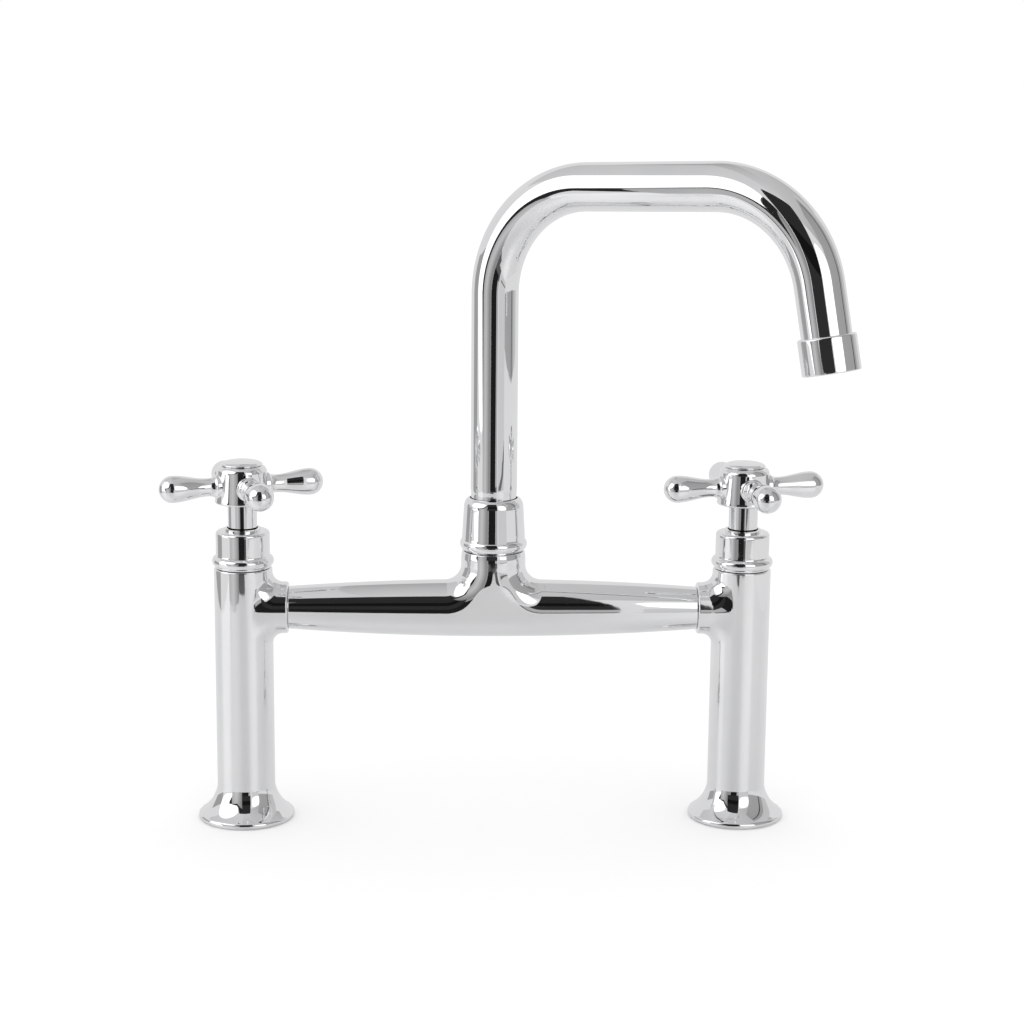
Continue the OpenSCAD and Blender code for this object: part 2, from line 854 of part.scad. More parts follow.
// Moves children past a bend, so that they start where it ends
module past_bend(r, angle) {
    translate([r, 0, 0])
        rotate([0, angle, 0])
            translate([-r, 0, 0])
                children();
}

// Moves children to the start of the first bend
module at_first_bend() {
    rotate([0, 0, -spout_angle])
        translate([0, 0, neck_z + spout_rise - bend_a_r])
            children();
}

// Places children at the tube's end, with +Z along the falling water
module at_tip() {
    at_first_bend()
        past_bend(bend_a_r, bend_a)
            translate([0, 0, arm_l])
                past_bend(bend_b_r, bend_b)
                    translate([0, 0, leg_l])
                        children();
}

// Spout tube: riser, bend, arm, bend and leg of one bent tube
module spout_tube() {
    riser_l = neck_z + spout_rise - bend_a_r - tube_z;
    color("silver")
        at_first_bend() {
            translate([0, 0, -riser_l])
                tube_straight(riser_l, 0, bend_lap);
            tube_bend(bend_a_r, bend_a);
            past_bend(bend_a_r, bend_a) {
                tube_straight(arm_l, bend_lap, bend_lap);
                translate([0, 0, arm_l]) {
                    tube_bend(bend_b_r, bend_b);
                    past_bend(bend_b_r, bend_b)
                        tube_straight(leg_l, bend_lap, 0);
                }
            }
        }
}

// Brass tail: turns in the neck on two O-rings and is held by its flange
module spout_tail() {
    end_gap = 1;
    bottom = tail_z + end_gap;
    color("goldenrod")
        difference() {
            union() {
                translate([0, 0, bottom])
                    cylinder(r = tail_r, h = tail_flange_z - bottom + over);
                translate([0, 0, tail_flange_z])
                    cylinder(r = washer_r - washer_inset, h = flange_t);
                translate([0, 0, tail_flange_z])
                    cylinder(r = tube_bore_r - fit, h = flange_t + tail_insert);
            }
            translate([0, 0, bottom - over])
                cylinder(d = tail_hole, h = tail_depth + nut_h + tail_insert);
            for (z = tail_ring_z)
                ring(tail_r - tail_groove, tail_r + over, z, ring_w);
        }
}

module spout_rings() {
    color("dimgray")
        for (z = tail_ring_z)
            ring(tail_r - tail_groove, tail_bore / 2 - ring_gap, z, ring_w);
}

// Shell screwed over the tube's end
module aerator_shell() {
    shell_r = shell_d / 2;
    grip_r = tube_d / 2 + fit;
    lip_round = 0.5;
    color("gainsboro")
        at_tip()
            difference() {
                translate([0, 0, -shell_grip])
                    rotate_extrude()
                        polygon(concat(
                            [[0, 0], [shell_r - shell_bevel, 0], [shell_r, shell_bevel]],
                            arc([shell_r - lip_round, shell_l - lip_round], lip_round, 0, 90, 4),
                            [[0, shell_l]]
                        ));
                translate([0, 0, -shell_grip - over])
                    cylinder(r = grip_r, h = shell_l - lip_t + over);
                cylinder(d = mouth_d, h = shell_l);
            }
}

module aerator_washer() {
    color("dimgray")
        at_tip()
            ring(tube_bore_r, tube_d / 2 - fit, 0, aerator_washer_t);
}

// Plastic insert with a grid of jets
module aerator_insert() {
    insert_h = shell_l - shell_grip - lip_t - aerator_washer_t - mesh_t;
    color("ivory")
        at_tip()
            translate([0, 0, aerator_washer_t])
                difference() {
                    cylinder(d = insert_d, h = insert_h);
                    hole_grid(insert_hole, insert_pitch, 2, insert_h);
                }
}

module aerator_mesh() {
    fine = 0.6;
    color("silver")
        at_tip()
            translate([0, 0, shell_l - shell_grip - lip_t - mesh_t])
                difference() {
                    cylinder(d = insert_d, h = mesh_t);
                    hole_grid(insert_hole * fine, insert_pitch * fine, 4, mesh_t);
                }
}

// Round holes on a triangular grid, ring by ring round the middle
module hole_grid(d, pitch, rings, h) {
    for (i = [-rings:rings])
        for (j = [-rings:rings])
            if (abs(i + j) <= rings)
                translate([pitch * (i + j / 2), pitch * j * sin(60), -over])
                    cylinder(d = d, h = h + 2 * over, $fn = 16);
}

foot(-1);  // hot_foot
foot_seal(-1);  // hot_foot_seal
pillar(-1);  // hot_pillar
seat_seal(-1);  // hot_seat_seal
fixed_disc(-1);  // hot_fixed_disc
moving_disc(-1);  // hot_moving_disc
slip_washer(-1);  // hot_slip_washer
valve_body(-1);  // hot_valve_body
spindle(-1);  // hot_spindle
spindle_ring(-1);  // hot_spindle_ring
bonnet(-1);  // hot_bonnet
stem_sleeve(-1);  // hot_stem_sleeve
handle(-1);  // hot_handle
handle_screw(-1);  // hot_handle_screw
index_cap(-1);  // hot_index_cap
foot(1);  // cold_foot
foot_seal(1);  // cold_foot_seal
pillar(1);  // cold_pillar
seat_seal(1);  // cold_seat_seal
fixed_disc(1);  // cold_fixed_disc
moving_disc(1);  // cold_moving_disc
slip_washer(1);  // cold_slip_washer
valve_body(1);  // cold_valve_body
spindle(1);  // cold_spindle
spindle_ring(1);  // cold_spindle_ring
bonnet(1);  // cold_bonnet
stem_sleeve(1);  // cold_stem_sleeve
handle(1);  // cold_handle
handle_screw(1);  // cold_handle_screw
index_cap(1);  // cold_index_cap
bridge();
bridge_rings();
grub_screws();
thrust_washer();
nut_washer();
spout_nut();
spout_tube();
spout_tail();
spout_rings();
aerator_shell();
aerator_washer();
aerator_insert();
aerator_mesh();
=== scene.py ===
import bpy
import bmesh
import math
from mathutils import Matrix, Vector
from mathutils.bvhtree import BVHTree
from mathutils.interpolate import poly_3d_calc


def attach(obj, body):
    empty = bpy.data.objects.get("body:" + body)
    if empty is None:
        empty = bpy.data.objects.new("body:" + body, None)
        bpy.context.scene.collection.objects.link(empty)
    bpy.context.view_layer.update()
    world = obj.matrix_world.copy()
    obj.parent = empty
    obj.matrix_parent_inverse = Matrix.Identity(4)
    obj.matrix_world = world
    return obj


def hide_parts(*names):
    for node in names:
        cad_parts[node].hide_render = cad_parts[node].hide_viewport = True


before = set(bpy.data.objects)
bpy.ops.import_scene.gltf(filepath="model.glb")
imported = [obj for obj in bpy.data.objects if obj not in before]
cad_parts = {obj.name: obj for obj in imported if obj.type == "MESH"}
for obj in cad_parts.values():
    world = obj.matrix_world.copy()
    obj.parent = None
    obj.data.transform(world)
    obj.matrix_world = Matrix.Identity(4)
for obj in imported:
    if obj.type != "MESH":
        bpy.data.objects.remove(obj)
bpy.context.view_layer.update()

# FEET. Each pillar ends in a bell-shaped foot of turned brass, polished and chrome plated. It screws on
# the end of the pillar, hides the tap hole, and has a groove underneath for its seal.
mm = 0.001


def bow(cx, cz, r, a0, a1, n=16):
    """Points of an arc, in millimetres, from angle a0 to a1 in degrees."""
    return [(cx + r * math.cos(math.radians(a0 + (a1 - a0) * i / n)),
             cz + r * math.sin(math.radians(a0 + (a1 - a0) * i / n))) for i in range(n + 1)]


def finished(name, bm, place=Matrix(), sharp=32):
    """Turns a bmesh in millimetres into a smooth object whose place is in its mesh."""
    bmesh.ops.remove_doubles(bm, verts=bm.verts[:], dist=0.0005)
    bmesh.ops.dissolve_degenerate(bm, edges=bm.edges[:], dist=0.0002)
    bmesh.ops.recalc_face_normals(bm, faces=bm.faces[:])
    bmesh.ops.transform(bm, matrix=Matrix.Scale(mm, 4) @ place, verts=bm.verts[:])
    for e in bm.edges:
        e.smooth = len(e.link_faces) == 2 and e.calc_face_angle(0) < math.radians(sharp)
    for f in bm.faces:
        f.smooth = True
    mesh = bpy.data.meshes.new(name)
    bm.to_mesh(mesh)
    bm.free()
    obj = bpy.data.objects.new(name, mesh)
    bpy.context.scene.collection.objects.link(obj)
    return obj


def turned(name, outline, place=Matrix(), steps=160, rounds=None):
    """Spins a closed outline of (radius, height) about Z. rounds gives corners their radius."""
    bm = bmesh.new()
    verts = [bm.verts.new((r, 0, z)) for r, z in outline]
    for a, b in zip(verts, verts[1:] + verts[:1]):
        bm.edges.new((a, b))
    for corner, radius in (rounds or {}).items():
        bmesh.ops.bevel(bm, geom=[verts[corner]], offset=radius, segments=5, profile=0.5,
                        affect="VERTICES", material=-1)
    axial = [e for e in bm.edges if all(abs(v.co.x) < 1e-6 for v in e.verts)]
    bmesh.ops.delete(bm, geom=axial, context="EDGES")
    bmesh.ops.spin(bm, geom=bm.verts[:] + bm.edges[:], cent=(0, 0, 0), axis=(0, 0, 1),
                   angle=math.tau, steps=steps, use_merge=True)
    return finished(name, bm, place)


def polished_chrome(name, tone=0.86, satin=0.035, ripple=0.012, grain=1.0):
    """Bright chrome plate over hand-polished brass: faint cloudiness, buffing haze and orange peel."""
    mat = bpy.data.materials.new(name)
    mat.use_nodes = True
    nodes, links = mat.node_tree.nodes, mat.node_tree.links
    skin = nodes["Principled BSDF"]
    skin.inputs["Metallic"].default_value = 1.0
    where = nodes.new("ShaderNodeTexCoord")
    haze = nodes.new("ShaderNodeTexNoise")
    haze.inputs["Scale"].default_value = 55 * grain
    haze.inputs["Detail"].default_value = 4
    tint = nodes.new("ShaderNodeValToRGB")
    tint.color_ramp.elements[0].position = 0.35
    tint.color_ramp.elements[0].color = (tone - 0.03, tone - 0.025, tone - 0.015, 1)
    tint.color_ramp.elements[1].position = 0.7
    tint.color_ramp.elements[1].color = (tone, tone + 0.003, tone + 0.01, 1)
    buff = nodes.new("ShaderNodeTexNoise")
    buff.inputs["Scale"].default_value = 900 * grain
    buff.inputs["Detail"].default_value = 3
    stretch = nodes.new("ShaderNodeMapping")
    stretch.inputs["Scale"].default_value = (1, 1, 0.12)
    sheen = nodes.new("ShaderNodeMapRange")
    sheen.inputs["To Min"].default_value = satin * 0.6
    sheen.inputs["To Max"].default_value = satin * 1.5
    peel = nodes.new("ShaderNodeTexNoise")
    peel.inputs["Scale"].default_value = 160 * grain
    peel.inputs["Detail"].default_value = 1
    bump = nodes.new("ShaderNodeBump")
    bump.inputs["Strength"].default_value = ripple
    bump.inputs["Distance"].default_value = 0.001
    links.new(where.outputs["Object"], haze.inputs["Vector"])
    links.new(where.outputs["Object"], stretch.inputs["Vector"])
    links.new(where.outputs["Object"], peel.inputs["Vector"])
    links.new(stretch.outputs["Vector"], buff.inputs["Vector"])
    links.new(haze.outputs["Fac"], tint.inputs["Fac"])
    links.new(tint.outputs["Color"], skin.inputs["Base Color"])
    links.new(buff.outputs["Fac"], sheen.inputs["Value"])
    links.new(sheen.outputs["Result"], skin.inputs["Roughness"])
    links.new(peel.outputs["Fac"], bump.inputs["Height"])
    links.new(bump.outputs["Normal"], skin.inputs["Normal"])
    return mat


def dress(obj, material, body, slot, *nodes):
    """Gives a piece its finish and its body, and hides the CAD nodes it stands for. slot is not used."""
    obj.data.materials.clear()
    obj.data.materials.append(material)
    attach(obj, body)
    if nodes:
        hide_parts(*nodes)
    return obj


SIDES = {"hot": (-100.0, 19.8), "cold": (100.0, 11.6)}
pillar_r, foot_r, foot_h, sweep_r, rim = 11.65, 19.4, 13.5, 15.8, 1.6
foot_chrome = polished_chrome("foot_chrome")
sweep_c = Vector((pillar_r + sweep_r * math.cos(0.15), foot_h + sweep_r * math.sin(0.15)))
rim_x = foot_r - rim
rim_c = Vector((rim_x, sweep_c.y - math.sqrt((sweep_r + rim) ** 2 - (sweep_c.x - rim_x) ** 2)))
meet = math.degrees(math.atan2(sweep_c.y - rim_c.y, sweep_c.x - rim_c.x))
foot_outline = ([(10.95, 0.15), (13.1, 0.15), (13.1, 2.0), (16.1, 2.0), (16.1, 0.0), (foot_r - 0.6, 0.0)]
                + bow(rim_c.x, rim_c.y, rim, -35, meet, 16)
                + bow(sweep_c.x, sweep_c.y, sweep_r, meet + 180, 180 + math.degrees(0.15), 30)
                + [(10.95, foot_h)])
for side, (x, turn) in SIDES.items():
    foot = turned(f"{side}_bell_foot", foot_outline, Matrix.Translation((x, 0, 0)), 192)
    dress(foot, foot_chrome, "tap_body", "chromed_brass", f"{side}_foot")


# SEALS UNDER THE FEET and every other rubber ring: black nitrile, moulded, slightly dusty and matt.
# The rings sit in their grooves, and are squeezed against the deck or the bore.
def moulded(name, colour, lift, rough, scale, strength, metal=0.0):
    """A material with a fine uneven tone, gloss and surface. colour is dark, lift how far it lightens."""
    mat = bpy.data.materials.new(name)
    mat.use_nodes = True
    nodes, links = mat.node_tree.nodes, mat.node_tree.links
    skin = nodes["Principled BSDF"]
    skin.inputs["Metallic"].default_value = metal
    where = nodes.new("ShaderNodeTexCoord")
    grain = nodes.new("ShaderNodeTexNoise")
    grain.inputs["Scale"].default_value = scale
    grain.inputs["Detail"].default_value = 5
    tint = nodes.new("ShaderNodeValToRGB")
    tint.color_ramp.elements[0].position = 0.3
    tint.color_ramp.elements[0].color = (*colour, 1)
    tint.color_ramp.elements[1].position = 0.75
    tint.color_ramp.elements[1].color = (*[min(1, c + lift) for c in colour], 1)
    gloss = nodes.new("ShaderNodeMapRange")
    gloss.inputs["To Min"].default_value = rough * 0.85
    gloss.inputs["To Max"].default_value = min(1, rough * 1.2)
    bump = nodes.new("ShaderNodeBump")
    bump.inputs["Strength"].default_value = strength
    bump.inputs["Distance"].default_value = 0.0003
    links.new(where.outputs["Object"], grain.inputs["Vector"])
    links.new(grain.outputs["Fac"], tint.inputs["Fac"])
    links.new(tint.outputs["Color"], skin.inputs["Base Color"])
    links.new(grain.outputs["Fac"], gloss.inputs["Value"])
    links.new(gloss.outputs["Result"], skin.inputs["Roughness"])
    links.new(grain.outputs["Fac"], bump.inputs["Height"])
    links.new(bump.outputs["Normal"], skin.inputs["Normal"])
    return mat


def coat(material, *nodes):
    """Gives carried-over CAD nodes their finish."""
    for n in nodes:
        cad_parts[n].data.materials.clear()
        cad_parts[n].data.materials.append(material)


nitrile = moulded("nitrile_rubber", (0.018, 0.018, 0.019), 0.02, 0.6, 700, 0.15)
coat(nitrile, "hot_foot_seal", "cold_foot_seal", "hot_seat_seal", "cold_seat_seal", "hot_spindle_ring",
     "cold_spindle_ring", "bridge_rings", "spout_rings", "aerator_washer")


# PILLARS. Each is a turned and bored brass leg with a side boss brazed in, dressed into one sweeping
# fillet and chromed. The boss takes the bridge's spigot, and the top takes the valve.
def joined(obj, tools, how):
    """Adds tool shapes to a piece, or cuts them out of it, and bakes the result."""
    for tool in tools:
        step = obj.modifiers.new(how, "BOOLEAN")
        step.object, step.operation, step.solver = tool, how, "EXACT"
    graph = bpy.context.evaluated_depsgraph_get()
    mesh = bpy.data.meshes.new_from_object(obj.evaluated_get(graph))
    obj.modifiers.clear()
    obj.data = mesh
    for tool in tools:
        bpy.data.objects.remove(tool)
    return obj


def around(p, start, end, radius):
    """How far p is from the skin of a round bar between two points, and the way outwards there."""
    run = end - start
    t = max(0.0, min(1.0, (p - start).dot(run) / run.length_squared))
    out = p - start - run * t
    return out.length - radius, out.normalized()


def rolled(skins, setback, limit):
    """How far a point is outside a corner that a rolling ball has dressed. It touches the skins setback from
    the corner, so the ball grows, up to a limit, where they run side by side."""
    def height(p):
        (a, na), (b, nb) = skins(p)
        c = na.dot(nb)
        if c < 0.9995:
            r = min(limit, setback * (1 + 0.4 * max(0.0, c)) * math.sqrt((1 + c) / (1 - c)))
            u, w = (a - r) - (b - r) * c, (b - r) - (a - r) * c
            if u < 0 and w < 0:
                return r - math.sqrt((u * (a - r) + w * (b - r)) / (1 - c * c))
        return min(a, b)
    return height


def filleted(obj, skins, height, reach=0.05):
    """Draws the corner where two skins meet out to a smooth one. skins(p) gives, in millimetres, how far p is
    from each skin and the way outwards from it, and height(p) how far it is from the smooth one."""
    def slope(p):
        return Vector([(height(p + s) - height(p - s)) / 0.04 for s in
                       (Vector((0.02, 0, 0)), Vector((0, 0.02, 0)), Vector((0, 0, 0.02)))])

    bm = bmesh.new()
    bm.from_mesh(obj.data)
    bmesh.ops.remove_doubles(bm, verts=bm.verts[:], dist=2e-7)
    bmesh.ops.triangulate(bm, faces=[f for f in bm.faces if len(f.verts) > 4])
    outward = {}
    for v in bm.verts:
        p = v.co / mm
        (a, na), (b, nb) = skins(p)
        if abs(min(a, b)) > reach:
            continue
        if abs(height(p) - min(a, b)) < 1e-4:
            outward[v.index] = na if a < b else nb
            continue
        for _ in range(6):
            way = slope(p)
            p = p - way * (height(p) / way.length_squared)
        v.co = p * mm
        outward[v.index] = slope(p).normalized()
    for f in bm.faces:
        f.smooth = True
    for e in bm.edges:
        e.smooth = len(e.link_faces) == 2 and e.calc_face_angle(0) < math.radians(32)
    bm.to_mesh(obj.data)
    bm.free()
    lie = [c.vector.copy() for c in obj.data.corner_normals]
    for face in obj.data.polygons:
        for i in face.loop_indices:
            n = outward.get(obj.data.loops[i].vertex_index)
            if n and n.dot(face.normal) > 0.82:
                lie[i] = n
    obj.data.normals_split_custom_set(lie)
    return obj


pillar_top, boss_r, boss_reach, bridge_z = 104.0, 10.4, 18.0, 87.4
pillar_outline = ([(9.3, 0.5), (10.9, 0.5), (10.9, foot_h)] + [(pillar_r, foot_h + 0.7 * i) for i in range(60)]
                  + [(pillar_r, z * 0.75) for z in range(75, 138)] + [(pillar_r, pillar_top), (9.4, pillar_top),
                     (9.4, 80), (5.5, 80), (5.5, 77), (8, 77), (8, 16), (9.3, 16)])
pillar_chrome = polished_chrome("pillar_chrome", 0.86, 0.04, 0.015)
for side, (x, turn) in SIDES.items():
    inward = -math.copysign(1, x)
    leg = turned(f"{side}_leg", pillar_outline, Matrix.Translation((x, 0, 0)), 192,
                 {pillar_outline.index((pillar_r, pillar_top)): 0.9})
    lie = Matrix.Translation((x, 0, bridge_z)) @ Matrix.Rotation(inward * math.pi / 2, 4, "Y")
    boss_outline = [(0, 2)] + [(boss_r, 2 + i * 0.65) for i in range(24)] + [(boss_r, boss_reach), (0, boss_reach)]
    boss = turned("boss", boss_outline, lie, 192, {len(boss_outline) - 2: 1.0})
    joined(leg, [boss], "UNION")
    bore = turned("bore", [(0, 0), (4.6, 0), (4.6, 9), (7.05, 9), (7.05, 20), (0, 20)], lie, 96)
    screw_hole = turned("screw_hole", [(0, 6.3), (2.05, 6.3), (2.05, 14), (0, 14)],
                        Matrix.Translation((x + inward * 11.8, 0, bridge_z)) @ Matrix.Rotation(-math.pi / 2, 4, "X"), 48)
    joined(leg, [bore, screw_hole], "DIFFERENCE")
    axle, boss_start, boss_end = Vector((x, 0, 0)), Vector((x, 0, bridge_z)), Vector((x + inward * 40, 0, bridge_z))

    def leg_skins(p):
        return around(p, axle, axle + Vector((0, 0, 200)), pillar_r), around(p, boss_start, boss_end, boss_r)

    filleted(leg, leg_skins, rolled(leg_skins, 4.3, 12))
    dress(leg, pillar_chrome, "tap_body", "chromed_brass", f"{side}_pillar")


# CERAMIC DISCS, SLIP WASHERS, VALVE BODIES. Two lapped alumina discs shut each valve, under an acetal
# slip washer. The valve body and its spindle are machined from dull yellow valve brass, never plated.
alumina = moulded("lapped_alumina", (0.74, 0.73, 0.69), 0.09, 0.22, 420, 0.03)
acetal = moulded("acetal", (0.62, 0.61, 0.56), 0.08, 0.42, 300, 0.06)
coat(alumina, "hot_fixed_disc", "hot_moving_disc", "cold_fixed_disc", "cold_moving_disc")
coat(acetal, "hot_slip_washer", "cold_slip_washer", "thrust_washer", "nut_washer")
valve_brass = moulded("machined_brass", (0.62, 0.42, 0.17), 0.14, 0.27, 900, 0.12, 1.0)
coat(valve_brass, "hot_valve_body", "cold_valve_body", "hot_spindle", "cold_spindle", "spout_tail")


# BONNETS. A turned and chromed ring nut with a bead at its foot screws over the top of each pillar, and
# holds the valve down. The spindle comes out through its short neck.
bonnet_chrome = polished_chrome("bonnet_chrome")
bonnet_outline = ([(9.7, 104.25), (11.1, 104.25)] + bow(10.0, 106.75, 2.3, -58, 68, 22)
                  + [(10.76, 109.15), (10.75, 109.6), (10.75, 110.6), (10.75, 113.5), (10.75, 116.4), (10.75, 117.2)]
                  + bow(9.35, 117.6, 1.4, 0, 90, 10) + [(7.1, 119.0), (7.1, 120.1), (6.15, 120.1), (6.15, 117.4), (7.55, 117.4), (7.55, 110.8), (9.7, 110.8)])
for side, (x, turn) in SIDES.items():
    bonnet = turned(f"{side}_bonnet_ring", bonnet_outline, Matrix.Translation((x, 0, 0)), 192)
    dress(bonnet, bonnet_chrome, "tap_body", "chromed_brass", f"{side}_bonnet")


# STEM SLEEVES. A plain chromed tube covers each spindle between the bonnet and the cross head, and turns
# with the head. A dark line of shadow shows where it goes into the bonnet's neck.
sleeve_chrome = polished_chrome("sleeve_chrome", 0.86, 0.04)
for side, (x, turn) in SIDES.items():
    sleeve_outline = ([(4.05, 117.95), (5.35, 117.95), (5.35, 120.2), (5.8, 120.5)]
                      + [(5.8, 121.2 + 1.55 * i) for i in range(8)] + [(4.05, 132.2)])
    sleeve = turned(f"{side}_sleeve", sleeve_outline, Matrix.Translation((x, 0, 0)), 128)
    dress(sleeve, sleeve_chrome, f"{side}_control", "chromed_brass", f"{side}_stem_sleeve")


# CROSS HEADS. Each handle is one hot-pressed brass cross, turned and polished by hand before plating: a
# flared hub, and four arms that swell from a collar and a slim waist to a round end.
def kept_normals(obj, sources):
    """Gives a joined piece the smooth normals of the shapes that it was joined from."""
    known = []
    for source in sources:
        mesh = source.data
        corners = [c.vector.copy() for c in mesh.corner_normals]
        known.append((BVHTree.FromPolygons([v.co.copy() for v in mesh.vertices],
                                           [tuple(f.vertices) for f in mesh.polygons]),
                      [[(mesh.vertices[mesh.loops[i].vertex_index].co.copy(), corners[i])
                        for i in f.loop_indices] for f in mesh.polygons]))

    def take(mesh):
        lie = [c.vector.copy() for c in mesh.corner_normals]
        for face in mesh.polygons:
            for i in face.loop_indices:
                at = mesh.vertices[mesh.loops[i].vertex_index].co
                best = 0.6
                for tree, faces in known:
                    for spot, flat, index, gap in tree.find_nearest_range(at, 2e-6):
                        if flat.dot(face.normal) > best + 1e-4:
                            best = flat.dot(face.normal)
                            weights = poly_3d_calc([c for c, n in faces[index]], at)
                            lie[i] = sum((n * w for (c, n), w in zip(faces[index], weights)), Vector()).normalized()
        mesh.normals_split_custom_set(lie)
    return take


hub_z, arm_z, hub_top = 130.2, 137.1, 145.3
hub_outline = ([(4.05, hub_z + 2), (5.85, hub_z + 2), (5.85, hub_z)] + bow(10.1, hub_z + 0.7, 0.7, -90, 20, 12)
               + [(10 + 0.74 * (1 - i / 24) ** 1.35, 131.2 + 11.2 * i / 24) for i in range(1, 25)]
               + bow(7.4, hub_top - 2.6, 2.6, 0, 78, 18)
               + [(7.35, hub_top), (7.35, 142.2), (2.2, 142.2), (2.2, 141.05), (4.05, 141.05)])
arm_outline = ([(0, 5), (4.8, 5), (4.8, 9.5), (4.8, 10.2)] + bow(4.35, 10.55, 0.45, 0, 60, 6)
               + [(4.62 - 1.02 * math.sin(math.radians(6 * i)), 13.9 - 2.9 * math.cos(math.radians(6 * i))) for i in range(1, 16)]
               + [(3.6 + 1.8 * (1 - math.cos(math.radians(180 * i / 36))) / 2, 13.9 + 14 * i / 36) for i in range(1, 37)]
               + bow(0, 27.9, 5.4, 5, 90, 20))
head_chrome = polished_chrome("cross_head_chrome", 0.86, 0.045, 0.02)
for side, (x, turn) in SIDES.items():
    hub = turned(f"{side}_cross_head", hub_outline, Matrix.Translation((x, 0, 0)), 160)
    arms = [turned("arm", arm_outline, Matrix.Translation((x, 0, arm_z))
                   @ Matrix.Rotation(math.radians(turn + 90 * k), 4, "Z") @ Matrix.Rotation(math.pi / 2, 4, "Y"), 96)
            for k in range(4)]
    take = kept_normals(hub, [hub] + arms)
    joined(hub, arms, "UNION")
    well = turned("well", [(0, 130), (5.85, 130), (5.85, 132.2), (4.05, 132.2), (4.05, 141.05), (2.2, 141.05),
                           (2.2, 142.2), (7.35, 142.2), (7.35, 146), (0, 146)], Matrix.Translation((x, 0, 0)), 160)
    joined(hub, [well], "DIFFERENCE")
    for f in hub.data.polygons:
        f.use_smooth = True
    take(hub.data)
    dress(hub, head_chrome, f"{side}_control", "chromed_brass", f"{side}_handle")


# INDEX CAPS AND THEIR SCREWS. A chromed, gently domed button snaps into the top of each hub over a slotted
# steel screw. It carries no letter.
cap_chrome = polished_chrome("index_cap_chrome", 0.88, 0.05, 0.01)
screw_steel = moulded("screw_steel", (0.42, 0.42, 0.43), 0.14, 0.32, 1500, 0.1, 1.0)
cap_outline = ([(6.1, 143.1), (7.3, 143.1), (7.3, 145.3), (7.95, 145.3)] + bow(7.9, 145.7, 0.4, -70, 66, 14)
               + [(7.8 * math.cos(math.radians(4 * i)), 146.1 + 1.35 * math.sin(math.radians(4 * i)))
                  for i in range(2, 23)] + [(0, 145.5), (6.1, 145.5)])
for side, (x, turn) in SIDES.items():
    cap = turned(f"{side}_button", cap_outline, Matrix.Translation((x, 0, 0)), 160)
    dress(cap, cap_chrome, f"{side}_control", "chromed_cap", f"{side}_index_cap")
    coat(screw_steel, f"{side}_handle_screw")


# BRIDGE. One barrelled brass forging with the neck for the spout in its middle and a spigot at each end.
# The neck flows into the barrel, narrowing to it in front, and the whole is polished and chromed.
barrel_r, waist, neck_r, neck_mid, neck_top, corner_r = 1122.17, 11.55, 12.9, 91.0, 111.2, 6.5
barrel = ([(8.1, -82), (8.42, -81.88), (8.58, -81.5)]
          + [(waist - barrel_r + math.sqrt(barrel_r ** 2 - u * u), u) for u in [81 * (i / 80 - 1) for i in range(161)]]
          + [(8.58, 81.5), (8.42, 81.88), (8.1, 82)])
lie = Matrix.Translation((0, 0, bridge_z)) @ Matrix.Rotation(math.pi / 2, 4, "Y")
bridge = turned("swelling_bridge", [(0, -90.8), (7, -90.8), (7, -85.6), (6.05, -85.6), (6.05, -83.6), (7, -83.6), (7, -82)]
                + barrel + [(7, 82), (7, 83.6), (6.05, 83.6), (6.05, 85.6), (7, 85.6), (7, 90.8), (0, 90.8)], lie, 192)
neck_outline = ([(0, neck_mid - neck_r)] + bow(0, neck_mid, neck_r, -88, 0, 44)
                + [(neck_r, neck_mid + 0.5 * i) for i in range(1, 35)] + [(neck_r - 0.06, 109.0), (neck_r - 0.2, 110.0)]
                + bow(neck_r - 0.85, 110.7, 0.5, 0, 90, 8) + [(10.6, neck_top), (10.6, 121), (0, 121)])
neck = turned("neck", neck_outline, steps=192)
joined(bridge, [neck], "UNION")
bore = turned("bore", [(0, -95), (4.6, -95), (4.6, 95), (0, 95)], lie, 96)
socket = turned("socket", [(0, 87), (4.6, 87), (4.6, 95), (8.2, 95), (8.2, 122), (0, 122)], steps=128)
joined(bridge, [bore, socket], "DIFFERENCE")


def bridge_skins(p):
    off = Vector((0, p.y, p.z - bridge_z))
    swell = waist - barrel_r + math.sqrt(barrel_r ** 2 - p.x ** 2)
    return ((off.length - swell, Vector((p.x / barrel_r, off.y / off.length, off.z / off.length)).normalized())
            if off.length > 1 else (-swell, Vector((0, 0, 1))),
            around(p, Vector((0, 0, neck_mid)), Vector((0, 0, 200)), neck_r))


def eased(t):
    """Goes smoothly from 0 to 1."""
    t = max(0.0, min(1.0, t))
    return t * t * (3 - 2 * t)


def forging(p):
    """How far p is outside the forging. It is the outline seen from the front, with round inside corners
    beside the neck, given a round section from edge to edge."""
    swell = waist - barrel_r + math.sqrt(barrel_r ** 2 - p.x ** 2)
    over, past = corner_r + swell + bridge_z - p.z, corner_r + neck_r - abs(p.x)
    if p.z < bridge_z or past <= 0:
        return math.hypot(p.z - bridge_z, p.y) - swell
    if over <= 0:
        return math.hypot(p.x, p.y) - neck_r
    lean = eased((math.degrees(math.atan2(over, past)) - 20) / 70)
    r = swell + (neck_r - swell) * (1 - lean) * eased((p.z - bridge_z) / 12.2)
    return math.hypot(max(0.0, r + corner_r - math.hypot(over, past)), p.y) - r


filleted(bridge, bridge_skins, forging)
dress(bridge, polished_chrome("bridge_chrome", 0.86, 0.035, 0.012), "tap_body", "chromed_brass", "bridge")
coat(screw_steel, "grub_screws")


